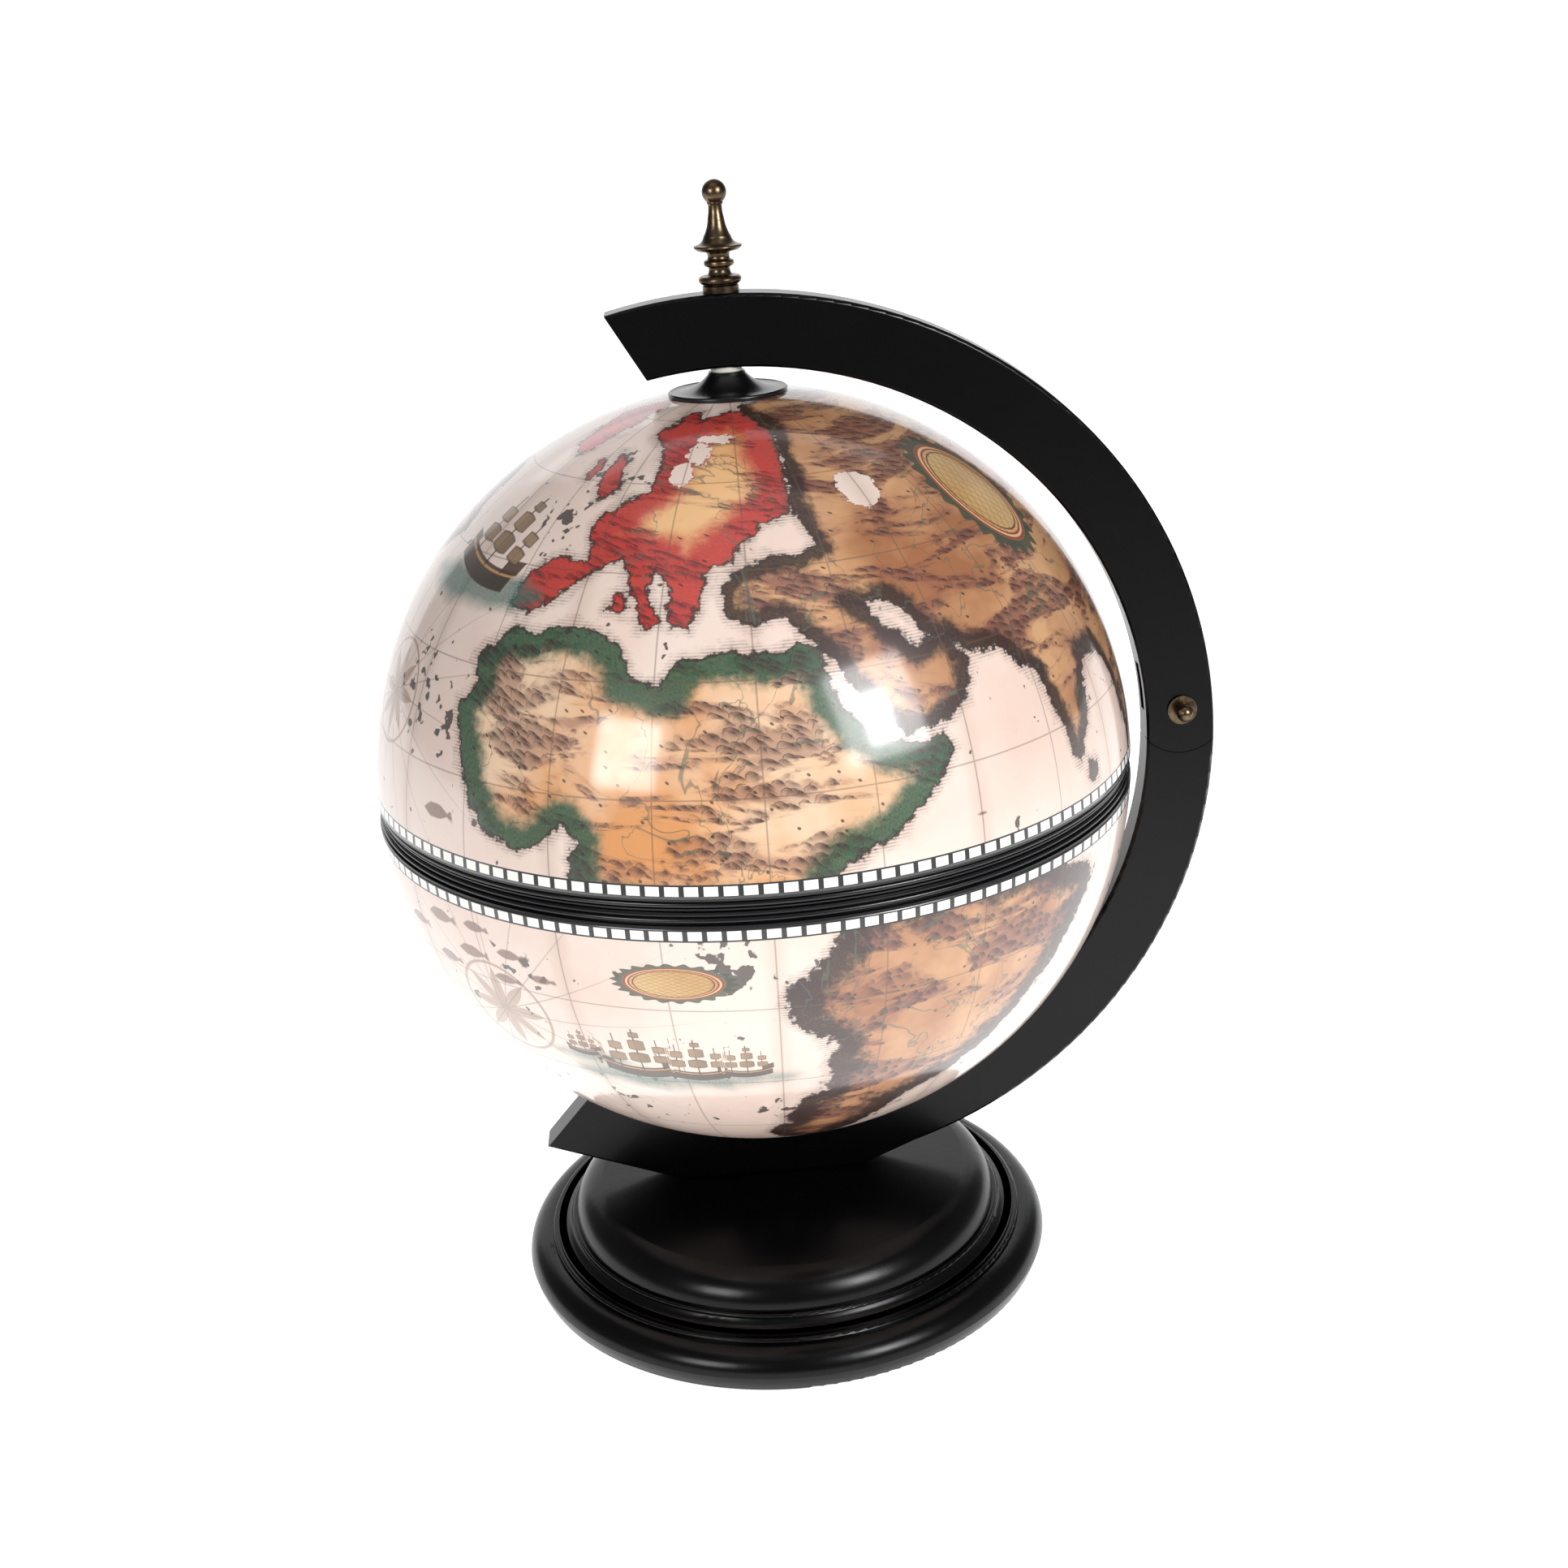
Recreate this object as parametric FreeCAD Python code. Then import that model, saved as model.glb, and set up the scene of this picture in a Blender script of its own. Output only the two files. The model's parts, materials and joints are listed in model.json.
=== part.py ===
import FreeCAD, Part
import math
import os

# Desktop globe that opens at its equator, on a C-shaped wooden arm and a turned wooden base.
# Millimetres. +Z up, origin on the floor under the globe's axis, +X towards the arm's hinge,
# the arm lies in the XZ plane, and the hinge pin runs along Y.

# ---- driving dimensions ----
globe_r = 165.0            # outside of the printed paper
globe_z = 247.0            # height of the globe's centre
paper_t = 0.6              # printed paper and varnish
shell_t = 3.2              # wood-fibre hemisphere
rim_z = 6.0                # the rim ring reaches this far from the split
split_gap = 0.5            # between the two rim rings when closed

arm_in = 174.5             # inner radius of the arm
arm_out = 204.4            # outer radius of the arm
arm_t = 16.0               # thickness of the arm along Y
arm_edge = 1.5             # rounding of its long edges
arm_top_deg = 103.7        # upper end, measured up from +X at the outer edge
end_lean_deg = 16.0        # the upper end is cut this far off the radius
low_corner = (-109.6, -181.7)  # outer corner of the lower end, from the globe's centre
low_inner = (-88.7, -158.1)    # its inner corner
sole = ((-48.0, -205.0), (38.0, -205.0), (78.0, -188.2), (60.0, -180.0), (-60.0, -180.0))

pin_polar_r = 190.2        # hinge pin, from the globe's centre
pin_deg = 3.55             # and above the equator
pin_r = 2.5
cheek_r = 20.0             # round end of the fork about the pin
cheek_gap = 0.3            # to the scooped shoulder of the lower arm
slot_w = 6.2               # slot between the two cheeks
slot_up = 22.0             # its end above the pin
tongue_t = 5.8
tongue_r = 15.0            # round end of the tongue about the pin
bush_r = 4.0
bush_gap = 0.06            # running fit of the pin in its bushes
flange_r = 6.5
flange_t = 1.2

pole_r = 3.75              # pole pins
pole_gap = 0.08            # running fit of the globe halves on the pole pins
collar_rim_r = 24.8
collar_neck_r = 8.0
collar_top = 172.4         # from the globe's centre
inner_flange_face = 155.0

base_top_z = 42.0          # flat top of the base, above the floor
base_top_r = 86.5
base_step1 = (100.3, 27.5)     # radius and height of the upper bead
base_step2 = (110.2, 21.0)     # radius and height of the lower bead
base_wide = (123.3, 10.0)      # widest circle of the foot moulding
base_bottom_r = 119.5
felt_t = 2.0
felt_r = 115.0
recess_r = 80.0
recess_h = 8.0
screw_x = 38.0

deck_z = -8.0              # top of the rack deck, from the globe's centre
deck_t = 5.0
floor_z = -100.0           # top of the rack floor, from the globe's centre
floor_t = 4.0
well_r = 43.0              # bottle well
cup_r = 36.0               # glass wells
cup_ring_r = 84.0
post_r = 5.0
post_ring_r = 112.0

# ---- helpers ----
V = FreeCAD.Vector
Z = V(0, 0, 1)
Y = V(0, 1, 0)
origin = V(0, 0, 0)
centre = V(0, 0, globe_z)
pin_x = pin_polar_r * math.cos(math.radians(pin_deg))
pin_z = globe_z + pin_polar_r * math.sin(math.radians(pin_deg))
nodes = {}


def outline(start, steps):
    """Closed wire in the XZ plane: each step is (r, z) or (r, z, mid_r, mid_z) for an arc."""
    edges = []
    at = V(start[0], 0, start[1])
    for step in steps:
        to = V(step[0], 0, step[1])
        if len(step) == 4:
            mid = V(step[2], 0, step[3])
            edges.append(Part.Arc(at, mid, to).toShape())
        else:
            edges.append(Part.LineSegment(at, to).toShape())
        at = to
    first = V(start[0], 0, start[1])
    if at.distanceToPoint(first) > 1e-7:
        edges.append(Part.LineSegment(at, first).toShape())
    return Part.Face(Part.Wire(edges))


def turned(start, steps, lift=0.0):
    """Solid of revolution about the globe's axis, raised by lift."""
    solid = outline(start, steps).revolve(origin, Z, 360)
    solid.translate(V(0, 0, lift))
    return solid


def sphere_z(radius, r):
    return math.sqrt(radius * radius - r * r)


def arc_point(radius, r0, r1):
    """Point of a sphere's section midway between two distances from the axis."""
    a0 = math.asin(min(1.0, r0 / radius))
    a1 = math.asin(min(1.0, r1 / radius))
    a = 0.5 * (a0 + a1)
    return radius * math.sin(a), radius * math.cos(a)


def cylinder_z(r, low, high, x=0.0, y=0.0):
    return Part.makeCylinder(r, high - low, V(x, y, low), Z)


def pin_cylinder(r, low, high):
    """Cylinder on the hinge axis between two Y values."""
    return Part.makeCylinder(r, high - low, V(pin_x, low, pin_z), Y)


def flip(solid):
    """The same piece for the lower half: turned over about the equator."""
    return solid.mirror(centre, Z)


def keep(name, solid):
    if solid.ShapeType == "Compound" and len(solid.Solids) == 1:
        solid = solid.Solids[0]
    if not solid.isValid() or len(solid.Solids) != 1:
        print("CHECK", name, solid.isValid(), len(solid.Solids))
    nodes[name] = solid


def hexagon(flats, low, high, bore):
    corner = flats / math.sqrt(3)
    points = []
    for k in range(7):
        a = math.radians(60 * k)
        points.append(V(corner * math.cos(a), corner * math.sin(a), low))
    body = Part.Face(Part.makePolygon(points)).extrude(V(0, 0, high - low))
    return body.cut(cylinder_z(bore, low - 1, high + 1))


def washer(r_in, r_out, low, high):
    return cylinder_z(r_out, low, high).cut(cylinder_z(r_in, low - 1, high + 1))


# ---- base: two turned tiers, steel ballast, felt, two screws up into the arm ----
r1, z1 = base_step1
r2, z2 = base_step2
rw, zw = base_wide
foot_top = z2 + 1.5
foot = turned(
    (0, felt_t),
    [
        (base_bottom_r, felt_t),
        (base_bottom_r + 1.5, felt_t + 1.5, base_bottom_r + 1.0, felt_t + 0.5),
        (rw, zw, rw - 1.0, felt_t + 4.4),
        (r2 + 1.6, z2 - 1.6, rw - 3.2, zw + 6.8),
        (r2 + 1.6, z2 - 0.8),
        (r2 + 0.4, z2 + 0.5, r2 + 1.3, z2 + 0.1),
        (r2 - 0.8, z2 + 0.5),
        (r2 - 0.8, foot_top),
        (0, foot_top),
    ],
)
foot = foot.cut(cylinder_z(recess_r, felt_t - 1, felt_t + recess_h))

cap = turned(
    (0, foot_top),
    [
        (r2 - 1.4, foot_top),
        (r1 + 1.6, z1 - 2.2, r1 + 3.3, foot_top + 0.8),
        (r1 + 1.6, z1 - 1.6),
        (r1 + 0.4, z1 - 0.2, r1 + 1.35, z1 - 0.6),
        (r1 - 0.6, z1 - 0.2),
        (r1 - 0.6, z1 + 1.0),
        (base_top_r, base_top_z, r1 - 4.9, base_top_z - 4.6),
        (0, base_top_z),
    ],
)

screw_shank = 3.0
screw_head_r = 6.0
for x in (-screw_x, screw_x):
    bore = cylinder_z(screw_shank, felt_t, base_top_z + 20, x)
    seat = cylinder_z(screw_head_r + 0.5, felt_t, felt_t + recess_h + 5, x)
    foot = foot.cut(bore.fuse(seat))
    cap = cap.cut(bore)
keep("base_foot", foot)
keep("base_cap", cap)

ballast = cylinder_z(recess_r - 2, felt_t + 0.3, felt_t + recess_h - 0.7)
for x in (-screw_x, screw_x):
    ballast = ballast.cut(cylinder_z(screw_head_r + 1, 0, 20, x))
ballast = ballast.cut(cylinder_z(4.0, 0, 20))
keep("ballast_plate", ballast)
keep("felt_pad", cylinder_z(felt_r, 0, felt_t))
for name, x in (("arm_screw_left", -screw_x), ("arm_screw_right", screw_x)):
    head_low = felt_t + recess_h + 0.6
    head_top = felt_t + recess_h + 5
    head = cylinder_z(screw_head_r, head_low, head_top, x)
    slot = Part.makeBox(2 * screw_head_r + 2, 1.6, 1.8, V(x - screw_head_r - 1, -0.8, head_low - 0.01))
    shank = cylinder_z(screw_shank, head_top - 0.5, base_top_z + 14, x)
    tip = Part.makeCone(screw_shank, 0.4, 6, V(x, 0, base_top_z + 14), Z)
    keep(name, head.cut(slot).fuse([shank, tip]).removeSplitter())


# ---- the C-shaped arm: a rounded bar bent about the globe's centre ----
def band(deg0, deg1):
    """Sweep of the arm's section from one polar angle to another, both above +X."""
    h = arm_t / 2
    e = arm_edge
    k = e * (1 - math.sqrt(0.5))
    a, b = arm_in, arm_out
    corners = [
        ((a + e, -h), (b - e, -h), (b - k, -h + k), (b, -h + e)),
        ((b, -h + e), (b, h - e), (b - k, h - k), (b - e, h)),
        ((b - e, h), (a + e, h), (a + k, h - k), (a, h - e)),
        ((a, h - e), (a, -h + e), (a + k, -h + k), (a + e, -h)),
    ]
    edges = []
    for start, line_end, mid, arc_end in corners:
        points = [V(x, y, 0) for x, y in (start, line_end, mid, arc_end)]
        edges.append(Part.LineSegment(points[0], points[1]).toShape())
        edges.append(Part.Arc(points[1], points[2], points[3]).toShape())
    section = Part.Face(Part.Wire(edges))
    section.rotate(origin, Y, -deg0)
    solid = section.revolve(origin, V(0, -1, 0), deg1 - deg0)
    solid.translate(centre)
    return solid


def polar(radius, deg, y=0.0):
    a = math.radians(deg)
    return V(radius * math.cos(a), y, globe_z + radius * math.sin(a))


def end_cut(corner, face_deg, side):
    """Block that trims an end of the arm: its face passes the corner at this angle above +X."""
    block = Part.makeBox(90, 60, 90, V(-60, -30, 0 if side > 0 else -90))
    block.rotate(origin, Y, -face_deg)
    block.translate(corner)
    return block


def pin_box(u0, u1, w0, w1, half_y):
    """Box along the arm at the hinge: u outwards along the radius, w up along the arm."""
    block = Part.makeBox(u1 - u0, 2 * half_y, w1 - w0, V(u0, -half_y, w0))
    block.rotate(origin, Y, -pin_deg)
    block.translate(V(pin_x, 0, pin_z))
    return block


half = arm_t / 2
upper = band(pin_deg, arm_top_deg + 4)
upper = upper.cut(end_cut(polar(arm_out, arm_top_deg), arm_top_deg + end_lean_deg, 1))
round_end = band(pin_deg - 9, pin_deg).common(pin_cylinder(cheek_r, -half, half))
upper = upper.fuse(round_end).removeSplitter()
upper = upper.cut(pin_box(-30, 30, -30, slot_up, slot_w / 2))
upper = upper.cut(pin_cylinder(bush_r, -half - 1, half + 1))
upper = upper.cut(cylinder_z(pole_r, globe_z + arm_in - 5, globe_z + arm_out + 5))
keep("upper_arm", upper)

low_deg = math.degrees(math.atan2(low_corner[1], low_corner[0]))
low_face = math.degrees(math.atan2(low_corner[1] - low_inner[1], low_corner[0] - low_inner[0]))
lower = band(low_deg - 5, pin_deg + 8)
# the sole thickens the arm down to a flat seat on the base
edge = [V(x, 0, globe_z + z) for x, z in (low_corner,) + sole + (low_inner, low_corner)]
wedge = Part.Face(Part.makePolygon(edge)).extrude(V(0, arm_t, 0))
wedge.translate(V(0, -half, 0))
under = []
for line in wedge.Edges:
    box = line.BoundBox
    if box.YLength < 0.01 and box.ZMax < globe_z - 181.0 and box.XMax < 79 and box.ZMin < globe_z - 184:
        under.append(line)
wedge = wedge.makeFillet(arm_edge, under)
lower = lower.fuse(wedge).removeSplitter()
lower = lower.cut(end_cut(V(low_corner[0], 0, globe_z + low_corner[1]), low_face, -1))
side = 0.5 * (half + 1 - tongue_t / 2)
for y in (-tongue_t / 2 - side, tongue_t / 2 + side):
    above = pin_box(-30, 30, 0, 60, side)
    above.translate(V(0, y, 0))
    lower = lower.cut(above)
    lower = lower.cut(pin_cylinder(cheek_r + cheek_gap, y - side, y + side))
above = pin_box(-30, 30, 0, 60, tongue_t / 2 + 0.2)
lower = lower.cut(above.cut(pin_cylinder(tongue_r, -half, half)))
front = lower.cut(Part.makeBox(600, 60, 600, V(-300, 0, 0)))
lower = front.fuse(front.mirror(origin, Y)).removeSplitter()
lower = lower.cut(Part.makeBox(400, 60, base_top_z, V(-200, -30, 0)))
lower = lower.cut(pin_cylinder(pin_r, -half, half))
pole_foot = globe_z - arm_in - 17
lower = lower.cut(cylinder_z(pole_r, pole_foot, globe_z - arm_in + 10))
for x in (-screw_x, screw_x):
    lower = lower.cut(cylinder_z(screw_shank, base_top_z - 1, base_top_z + 14, x))
    lower = lower.cut(Part.makeCone(screw_shank, 0.4, 6, V(x, 0, base_top_z + 14), Z))
keep("lower_arm", lower)

# ---- hinge: brass pin with a ball head, two flanged bushes, ball-ended cap nut ----
bush = pin_cylinder(bush_r, -half, -slot_w / 2).fuse(pin_cylinder(flange_r, -half - flange_t, -half))
bush = bush.cut(pin_cylinder(pin_r + bush_gap, -half - 3, 0)).removeSplitter()
keep("hinge_bush_front", bush)
keep("hinge_bush_back", bush.mirror(origin, Y))

ball_r = 3.7
shaft = pin_cylinder(pin_r, -half - flange_t - 0.2, half + flange_t + 6)
seat = pin_cylinder(3.6, -half - flange_t - 1.6, -half - flange_t - 0.2)
ball_y = -half - flange_t - 1.6 - 2.9
ball = Part.makeSphere(ball_r, V(pin_x, ball_y, pin_z))
keep("hinge_pin", shaft.fuse([seat, ball]).removeSplitter())

nut_face = half + flange_t + 0.2
nut = pin_cylinder(4.2, nut_face, nut_face + 3.4)
nut = nut.fuse(Part.makeSphere(4.2, V(pin_x, nut_face + 3.4, pin_z)))
nut = nut.cut(pin_cylinder(pin_r, 0, half + flange_t + 6)).removeSplitter()
keep("hinge_nut", nut)

# ---- pole pins, collars, washers and nuts ----
stud_r = 2.4
top_face = globe_z + arm_out
pole = cylinder_z(pole_r, globe_z + 145, top_face - 0.4)
pole = pole.fuse(cylinder_z(stud_r, top_face - 0.5, top_face + 9)).removeSplitter()
keep("upper_pole_pin", pole)
keep("lower_pole_pin", cylinder_z(pole_r, pole_foot, globe_z - 145))

bore_r = pole_r + pole_gap
spacer = washer(pole_r, 6.5, globe_z + collar_top + 0.1, globe_z + arm_in + 1)
spacer = spacer.cut(band(80, 100))
keep("upper_spacer", spacer)
low_spacer = washer(pole_r, 6.5, globe_z - arm_in - 1, globe_z - collar_top - 0.1)
low_spacer = low_spacer.cut(band(-100, -80))
keep("lower_spacer", low_spacer)

skin_z = sphere_z(globe_r, collar_rim_r)
collar_mid = arc_point(globe_r, bore_r, collar_rim_r)
collar = turned(
    (bore_r, sphere_z(globe_r, bore_r)),
    [
        (collar_rim_r, skin_z, collar_mid[0], collar_mid[1]),
        (collar_rim_r + 0.1, skin_z + 1.3),
        (collar_rim_r - 1.2, skin_z + 1.7, collar_rim_r - 0.4, skin_z + 1.9),
        (collar_neck_r, collar_top - 1.2, collar_neck_r + 6.0, skin_z + 3.5),
        (collar_neck_r - 0.6, collar_top),
        (bore_r, collar_top),
    ],
    globe_z,
)
keep("upper_collar", collar)
keep("lower_collar", flip(collar))

shell_in = globe_r - paper_t - shell_t
plug_r = 20.0
plug_mid = arc_point(shell_in, bore_r, plug_r)
plug = turned(
    (bore_r, inner_flange_face),
    [
        (plug_r - 1, inner_flange_face),
        (plug_r, inner_flange_face + 1),
        (plug_r, sphere_z(shell_in, plug_r)),
        (bore_r, sphere_z(shell_in, bore_r), plug_mid[0], plug_mid[1]),
    ],
    globe_z,
)
keep("upper_inner_flange", plug)
keep("lower_inner_flange", flip(plug))

for half_name, sign in (("upper", 1), ("lower", -1)):
    disc = washer(pole_r, 9.0, globe_z + inner_flange_face - 1.6, globe_z + inner_flange_face - 0.1)
    nut = hexagon(13.0, globe_z + inner_flange_face - 8.1, globe_z + inner_flange_face - 1.6, pole_r)
    if sign < 0:
        disc = flip(disc)
        nut = flip(nut)
    keep(half_name + "_pole_washer", disc)
    keep(half_name + "_pole_nut", nut)

# ---- finial: turned brass, screwed on the end of the upper pole pin ----
finial = turned(
    (0, 0),
    [
        (7.5, 0),
        (7.5, 2.4),
        (6.2, 2.9, 7.2, 2.8),
        (6.2, 3.3),
        (8.8, 4.7, 8.1, 3.6),
        (6.2, 6.4, 8.4, 6.1),
        (4.4, 8.6, 4.9, 7.3),
        (4.8, 10.3, 4.4, 9.5),
        (6.2, 11.6, 6.0, 10.7),
        (4.9, 12.9, 5.9, 12.6),
        (4.5, 14.6, 4.5, 13.8),
        (6.0, 16.4, 4.9, 15.8),
        (9.6, 17.5, 8.4, 16.6),
        (9.3, 18.7, 9.9, 18.2),
        (5.6, 22.2, 6.9, 19.9),
        (3.4, 29.0, 4.2, 25.2),
        (2.8, 34.2, 2.9, 31.8),
        (3.3, 35.0),
        (3.3, 37.0),
        (0, 37.0),
    ],
    top_face,
)
finial_ball = 5.0
finial = finial.fuse(Part.makeSphere(finial_ball, V(0, 0, top_face + 44.4 - finial_ball)))
finial = finial.removeSplitter()
finial = finial.cut(cylinder_z(stud_r, top_face - 2, top_face + 9))
keep("finial", finial)

# ---- hemispheres: fibre shell, printed paper, black rim ring ----
shell_out = globe_r - paper_t
paper_hole = collar_neck_r + 4


def zone(r_big, r_small, hole, low):
    """Part of a hollow sphere above a height, open at the pole."""
    big_low = sphere_z(r_big, low)
    small_low = sphere_z(r_small, low)
    mid_big = arc_point(r_big, hole, big_low)
    mid_small = arc_point(r_small, hole, small_low)
    return turned(
        (small_low, low),
        [
            (big_low, low),
            (hole, sphere_z(r_big, hole), mid_big[0], mid_big[1]),
            (hole, sphere_z(r_small, hole)),
            (small_low, low, mid_small[0], mid_small[1]),
        ],
        globe_z,
    )


shell = zone(shell_out, shell_in, bore_r, rim_z)
paper = zone(globe_r, shell_out, paper_hole, rim_z)
keep("upper_shell", shell)
keep("lower_shell", flip(shell))
keep("upper_map", paper.cut(nodes["upper_collar"]))
keep("lower_map", flip(nodes["upper_map"]))

gap = split_gap / 2
spigot_r = sphere_z(shell_in, rim_z + 12) - 0.05
shelf_top = deck_t - deck_z
shelf_r = 147.0


def rim_ring(shelf):
    """Black rim: ridged outside, spigot inside the shell, a shelf for the deck on one half."""
    bore = spigot_r - 3.5
    steps = [
        (162.9, gap),
        (163.6, gap + 0.7),
        (163.6, 1.5),
        (162.7, 1.7),
        (162.7, 2.1),
        (164.0, 2.3),
        (164.0, 4.1, 164.45, 3.2),
        (163.1, 4.3),
        (163.1, 4.8),
        (164.8, 5.0),
        (sphere_z(globe_r, rim_z), rim_z),
        (sphere_z(shell_in, rim_z) - 0.05, rim_z),
        (spigot_r, rim_z + 12),
        (bore, rim_z + 12),
    ]
    if shelf:
        steps += [
            (bore, shelf_top + 3.2),
            (shelf_r, shelf_top + 3.2),
            (shelf_r, shelf_top),
            (bore, shelf_top),
        ]
    return turned((bore, gap), steps, globe_z)


keep("upper_rim_ring", rim_ring(False))
keep("lower_rim_ring", flip(rim_ring(True)))

# ---- rack inside the lower half: deck with wells, floor, four posts ----
deck = cylinder_z(spigot_r - 3.8, globe_z + deck_z - deck_t, globe_z + deck_z)
wells = [(0.0, 0.0, well_r)]
for k in range(4):
    a = math.radians(90 * k)
    wells.append((cup_ring_r * math.cos(a), cup_ring_r * math.sin(a), cup_r))
for x, y, r in wells:
    deck = deck.cut(cylinder_z(r, 0, 400, x, y))
rack_rims = []
for edge in deck.Edges:
    if edge.Curve.TypeId == "Part::GeomCircle" and edge.Curve.Radius < 50 and edge.Vertexes:
        if edge.Vertexes[0].Point.z > globe_z + deck_z - 0.1:
            rack_rims.append(edge)
keep("rack_deck", deck.makeFillet(1.5, rack_rims))
floor_r = sphere_z(shell_in, floor_z - floor_t) - 0.3
keep("rack_floor", cylinder_z(floor_r, globe_z + floor_z - floor_t, globe_z + floor_z))
for k in range(4):
    a = math.radians(45 + 90 * k)
    x, y = post_ring_r * math.cos(a), post_ring_r * math.sin(a)
    post = cylinder_z(post_r, globe_z + floor_z, globe_z + deck_z - deck_t, x, y)
    keep("rack_post_%d" % (k + 1), post)

# ---- write ----
os.makedirs("parts", exist_ok=True)
for name, solid in nodes.items():
    solid.exportStep("parts/%s.step" % name)
    box = solid.optimalBoundingBox()
    print("%-20s %10.1f mm3  z %7.2f %7.2f  x %7.2f %7.2f" % (
        name, solid.Volume, box.ZMin, box.ZMax, box.XMin, box.XMax))
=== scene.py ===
import json
import math

import bmesh
import bpy
import numpy as np
from mathutils import Matrix, Vector


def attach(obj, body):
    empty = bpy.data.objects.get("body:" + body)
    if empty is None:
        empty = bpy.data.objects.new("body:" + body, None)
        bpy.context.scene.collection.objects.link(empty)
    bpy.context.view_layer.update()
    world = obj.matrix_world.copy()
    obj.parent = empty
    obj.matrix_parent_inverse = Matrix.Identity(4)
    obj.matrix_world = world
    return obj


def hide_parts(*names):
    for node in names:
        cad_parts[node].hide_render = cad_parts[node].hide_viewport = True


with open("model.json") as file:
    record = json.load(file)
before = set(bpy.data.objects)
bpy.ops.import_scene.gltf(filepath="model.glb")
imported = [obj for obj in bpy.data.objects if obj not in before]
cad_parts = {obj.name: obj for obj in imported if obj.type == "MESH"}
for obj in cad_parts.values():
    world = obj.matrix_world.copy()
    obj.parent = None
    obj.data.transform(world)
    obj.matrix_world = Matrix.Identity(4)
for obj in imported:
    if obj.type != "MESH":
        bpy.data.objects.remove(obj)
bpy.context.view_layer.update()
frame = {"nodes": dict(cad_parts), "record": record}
nodes = frame["nodes"]
globeHeight = 0.247                  # metres from the floor to the ball's centre


# hex sRGB to the linear values that materials mix
def linear(hexColour, alpha=1.0):
    channels = [int(hexColour[i:i + 2], 16) / 255 for i in (1, 3, 5)]
    return tuple(c / 12.92 if c <= 0.04045 else ((c + 0.055) / 1.055) ** 2.4 for c in channels) + (alpha,)


# adds one shader node with its settings and links, and hands back the output asked for
def addNode(tree, kind, inputs=None, out=0, **settings):
    node = tree.nodes.new("ShaderNode" + kind)
    for name, value in settings.items():
        setattr(node, name, value)
    for key, value in (inputs or {}).items():
        if isinstance(value, bpy.types.NodeSocket):
            tree.links.new(value, node.inputs[key])
        else:
            node.inputs[key].default_value = value
    return node.outputs[out] if len(node.outputs) else node


def mathNode(tree, operation, *values):
    return addNode(tree, "Math", dict(enumerate(values)), operation=operation)


def vectorNode(tree, operation, *values, out=0):
    return addNode(tree, "VectorMath", dict(enumerate(values)), out=out, operation=operation)


# mixes two colours, given as hex or as sockets
def mixNode(tree, share, first, second):
    first, second = (linear(c) if isinstance(c, str) else c for c in (first, second))
    return addNode(tree, "Mix", {0: share, 6: first, 7: second}, out=2, data_type="RGBA")


# maps a value from one span to another, clamped to the ends
def spanNode(tree, value, start, end, low=0.0, high=1.0, **settings):
    return addNode(tree, "MapRange", {"Value": value, "From Min": start, "From Max": end, "To Min": low,
                                      "To Max": high}, **settings)


def noiseNode(tree, place, scale, detail, roughness=0.5, distortion=0.0, out=0):
    return addNode(tree, "TexNoise", {"Vector": place, "Scale": scale, "Detail": detail, "Roughness": roughness,
                                      "Distortion": distortion}, out=out)


# a value stored on the mesh's points
def layerNode(tree, name):
    return addNode(tree, "Attribute", out="Fac", attribute_name=name)


def bumpNode(tree, height, strength, distance):
    return addNode(tree, "Bump", {"Height": height, "Strength": strength, "Distance": distance})


def newMaterial(name):
    material = bpy.data.materials.new(name)
    material.use_nodes = True
    material.node_tree.nodes.clear()
    return material, material.node_tree


def finishMaterial(tree, inputs):
    addNode(tree, "OutputMaterial", {"Surface": addNode(tree, "BsdfPrincipled", inputs)})


# ---- camera and studio ----
cameraSetup = {
    "place": (-0.0153614, -0.8461809, 0.3032246 + globeHeight),
    "right": (0.9965830, -0.0556838, -0.0610054),
    "up": (0.0765672, 0.3457737, 0.9351888),
    "forward": (0.0309808, 0.9366642, -0.3488557),
    "sensor": 36.0,                  # millimetres
    "lens": 46.4664596,
}
cameraData = bpy.data.cameras.new("studioCamera")
cameraData.sensor_width = cameraSetup["sensor"]
cameraData.lens = cameraSetup["lens"]
camera = bpy.data.objects.new("studioCamera", cameraData)
bpy.context.scene.collection.objects.link(camera)
columns = [Vector(cameraSetup["right"]), Vector(cameraSetup["up"]), -Vector(cameraSetup["forward"])]
turn = Matrix(columns).transposed().to_4x4()
camera.matrix_world = Matrix.Translation(cameraSetup["place"]) @ turn
bpy.context.scene.camera = camera
bpy.context.scene.view_settings.view_transform = "Standard"

studio = {
    "sheet": 5.0,                    # half width of the floor, metres
    "paper": "#F4F4F4",
    # painted shade: the grey the paper is given where its glow dims
    "paintedShadePaper": "#B4B4B4",
    "paperGlow": 0.86,               # the paper is lit from below, as on a light table
    "litTo": 0.4,                    # in front the light table dims from here, metres
    "darkFrom": 0.9,                 # to here
    "farGlow": 0.12,                 # and keeps this share of its light further out
    "behindFrom": -0.5,              # towards the back it comes up again from here
    "behindTo": -0.15,               # to here
    "sweepLifts": (0.08, 0.3, 0.6, 1.0, 2.4),   # rise of each fold at the back of the sheet
    "sweepRun": 0.5,
    "worldColour": "#DADDE2",
    "worldStrength": 0.22,
    "lights": {
        # name: (azimuth, elevation, distance, width, height, watts)
        "leftSoftbox": (-128, 20, 1.6, 0.5, 0.5, 9),
        "rightSoftbox": (-52, 27, 1.5, 0.62, 0.66, 12),
        "rightCore": (-53, 25, 1.45, 0.2, 0.34, 5),
        "topPanel": (-90, 80, 1.9, 1.6, 1.6, 3.5),
        "backPanel": (90, 40, 2.2, 2.2, 1.2, 5),
    },
}
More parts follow.
